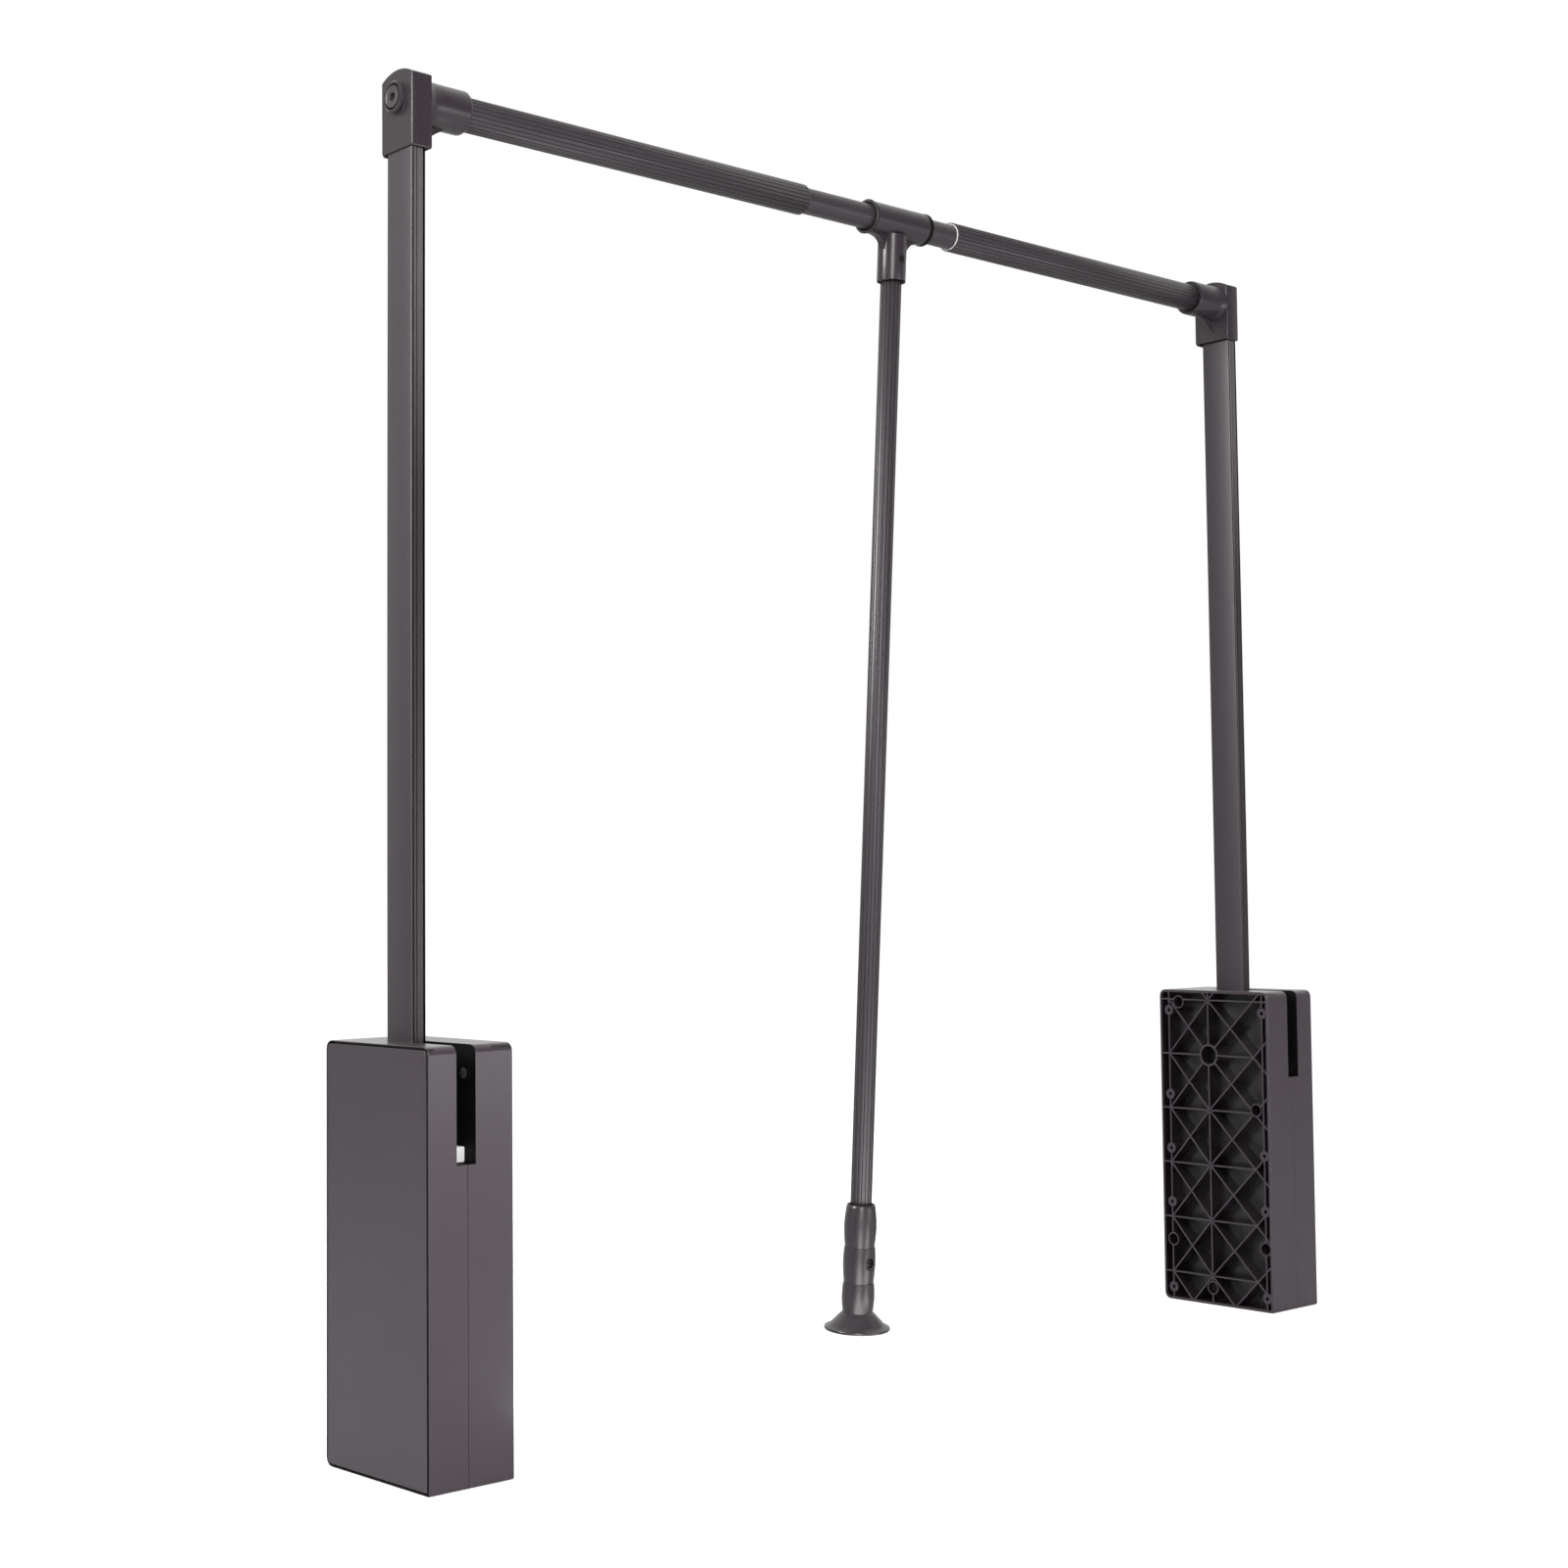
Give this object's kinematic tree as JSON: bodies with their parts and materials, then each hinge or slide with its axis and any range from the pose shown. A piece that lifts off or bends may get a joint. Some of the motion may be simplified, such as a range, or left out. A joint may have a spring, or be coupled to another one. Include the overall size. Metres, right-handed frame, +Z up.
{
  "type": "pull-down closet rod",
  "caption": "Telescopic closet crossbar carried by two sprung, damped arms in side housings, with a hanging pull rod and grip that swing it down.",
  "frame": {"origin": "middle of the footprint of the two housings, on the plane that they stand on", "axes": "+X along the crossbar from the left unit to the right unit, -Y towards the user, +Z up"},
  "size_m": [1.018, 0.158, 0.9973],
  "materials": {
    "graphite_plastic": "fine-grained moulded plastic, dark warm grey",
    "graphite_enamel": "satin powder coat, dark warm grey",
    "strip_grey": "satin",
    "black_rubber": "matt black",
    "black_screw": "black oxide",
    "white_nylon": "natural nylon",
    "zinc_steel": "zinc plated",
    "spring_steel": "oiled wire"
  },
  "bodies": {
    "left_unit": {"left_outer_shell": "graphite_plastic", "left_base_shell": "graphite_plastic", "left_cover_plate": "graphite_plastic", "left_shell_screw_top": "zinc_steel", "left_shell_screw_foot": "zinc_steel", "left_shell_screw_front": "zinc_steel", "left_cheek_screw": "black_screw", "left_stop_block": "white_nylon", "left_pivot_axle": "black_screw", "left_lower_pin": "black_screw", "left_return_spring": "spring_steel"},
    "left_arm": {"left_pivot_bush": "white_nylon", "left_arm_root": "zinc_steel", "left_crank_pin": "zinc_steel", "left_arm_tube": "graphite_enamel", "left_arm_strip": "strip_grey", "left_arm_rivet": "zinc_steel", "left_arm_head": "graphite_plastic", "left_head_bolt": "black_screw", "left_tube_plug": "zinc_steel", "left_outer_tube": "graphite_enamel", "left_guide_bush": "white_nylon"},
    "centre_tube": {"inner_tube": "graphite_enamel"},
    "pull_rod_set": {"tee_body": "graphite_plastic", "tee_left_collar": "black_rubber", "tee_right_collar": "black_rubber", "tee_screw": "black_screw", "pull_rod": "graphite_enamel", "grip": "graphite_plastic", "grip_screw": "black_screw"},
    "right_arm": {"right_pivot_bush": "white_nylon", "right_arm_root": "zinc_steel", "right_crank_pin": "zinc_steel", "right_arm_tube": "graphite_enamel", "right_arm_strip": "strip_grey", "right_arm_rivet": "zinc_steel", "right_arm_head": "graphite_plastic", "right_head_bolt": "black_screw", "right_tube_plug": "zinc_steel", "right_outer_tube": "graphite_enamel", "right_guide_bush": "white_nylon"},
    "right_unit": {"right_outer_shell": "graphite_plastic", "right_base_shell": "graphite_plastic", "right_cover_plate": "graphite_plastic", "right_shell_screw_top": "zinc_steel", "right_shell_screw_foot": "zinc_steel", "right_shell_screw_front": "zinc_steel", "right_cheek_screw": "black_screw", "right_stop_block": "white_nylon", "right_pivot_axle": "black_screw", "right_lower_pin": "black_screw", "right_return_spring": "spring_steel"},
    "left_damper": {"left_damper_cylinder": "black_screw", "left_damper_gland": "zinc_steel"},
    "left_damper_ram": {"left_damper_rod": "zinc_steel", "left_damper_pin": "zinc_steel"},
    "right_damper": {"right_damper_cylinder": "black_screw", "right_damper_gland": "zinc_steel"},
    "right_damper_ram": {"right_damper_rod": "zinc_steel", "right_damper_pin": "zinc_steel"}
  },
  "joints": [
    {"name": "arm_swing", "type": "hinge", "parent": "left_unit", "child": "left_arm", "pos_m": [-0.479, 0.006, 0.238], "axis": [1, 0, 0], "range_deg": [0, 78], "stiffness_Nm_per_rad": 30, "springref_deg": -17.19, "deforming": ["left_return_spring"]},
    {"name": "left_tube_slide", "type": "slide", "parent": "left_arm", "child": "centre_tube", "axis": [1, 0, 0], "range_m": [-0.0745, 0.066]},
    {"name": "pull_rod_swing", "type": "hinge", "parent": "centre_tube", "child": "pull_rod_set", "pos_m": [0.0205, 0.006, 0.9755], "axis": [1, 0, 0], "continuous": true},
    {"name": "right_tube_slide", "type": "slide", "parent": "centre_tube", "child": "right_arm", "axis": [1, 0, 0], "range_m": [-0.031, 0.066]},
    {"name": "right_arm_pivot", "type": "hinge", "parent": "right_arm", "child": "right_unit", "pos_m": [0.479, 0.006, 0.238], "axis": [1, 0, 0], "range_deg": [-78, 0], "deforming": ["right_return_spring"]},
    {"name": "left_damper_tilt", "type": "hinge", "parent": "left_unit", "child": "left_damper", "pos_m": [-0.468, 0.006, 0.016], "axis": [1, 0, 0], "range_deg": [-10.05, 0]},
    {"name": "left_damper_stroke", "type": "slide", "parent": "left_damper", "child": "left_damper_ram", "axis": [0, 0, 1], "range_m": [0, 0.0338]},
    {"name": "right_damper_tilt", "type": "hinge", "parent": "right_unit", "child": "right_damper", "pos_m": [0.468, 0.006, 0.016], "axis": [1, 0, 0], "range_deg": [-10.05, 0]},
    {"name": "right_damper_stroke", "type": "slide", "parent": "right_damper", "child": "right_damper_ram", "axis": [0, 0, 1], "range_m": [0, 0.0338]}
  ],
  "couplings": [
    {"joint": "right_arm_pivot", "follows": "arm_swing", "ratio": -1},
    {"joint": "left_damper_tilt", "follows": "arm_swing", "ratio": -0.12627},
    {"joint": "left_damper_stroke", "follows": "arm_swing", "m_per_rad": 0.024462},
    {"joint": "right_damper_tilt", "follows": "arm_swing", "ratio": -0.12627},
    {"joint": "right_damper_stroke", "follows": "arm_swing", "m_per_rad": 0.024462}
  ]
}
